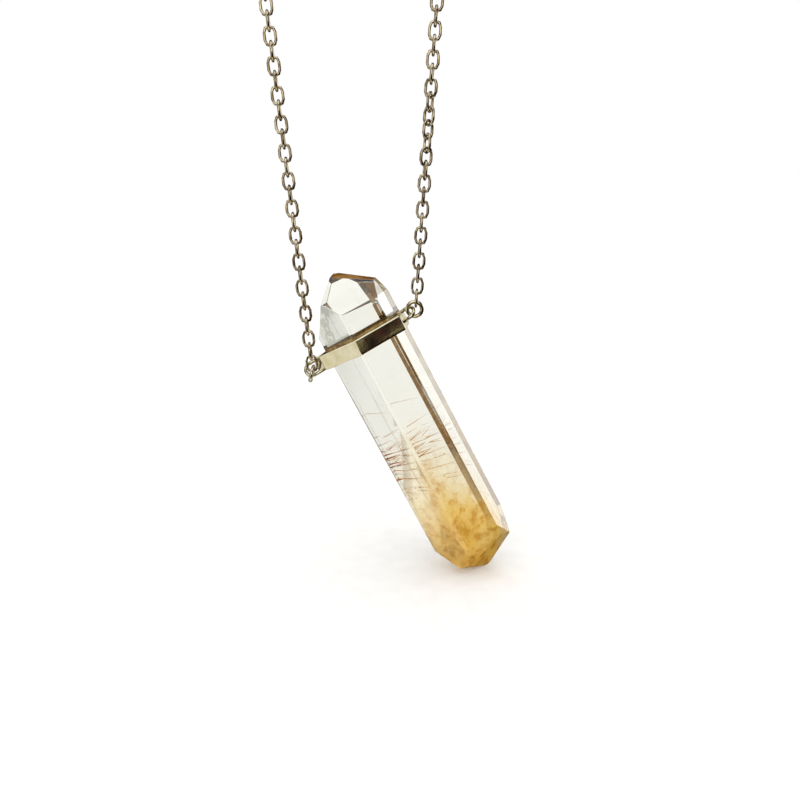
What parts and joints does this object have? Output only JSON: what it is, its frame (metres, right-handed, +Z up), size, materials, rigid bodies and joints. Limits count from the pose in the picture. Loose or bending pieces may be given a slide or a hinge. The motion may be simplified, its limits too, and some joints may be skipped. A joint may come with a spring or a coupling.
{
  "type": "crystal pendant necklace",
  "caption": "Fine cable-chain necklace that hangs in a loop and carries a tilted six-sided pointed crystal in a metal band.",
  "frame": {"origin": "the hanging point: lower side of the clasp, inside the top of the chain's loop", "axes": "+Z up, along the hanging necklace; the loop lies in the XZ plane, +X to the right and +Y to the back as seen from the front"},
  "size_m": [0.0421, 0.0132, 0.2114],
  "materials": {
    "crystal": "polished",
    "metal": "polished",
    "chain": "polished"
  },
  "bodies": {
    "necklace": {"chain_left": "chain", "chain_right": "chain", "clasp": "metal"},
    "pendant": {"crystal": "crystal", "band": "metal", "ring_left": "metal", "ring_right": "metal"}
  },
  "joints": [
    {"name": "pendant_swing", "type": "hinge", "parent": "necklace", "child": "pendant", "pos_m": [0.00278, 0, -0.17964], "axis": [-0.8233, 0, -0.5676], "range_deg": [-12, 40]}
  ]
}
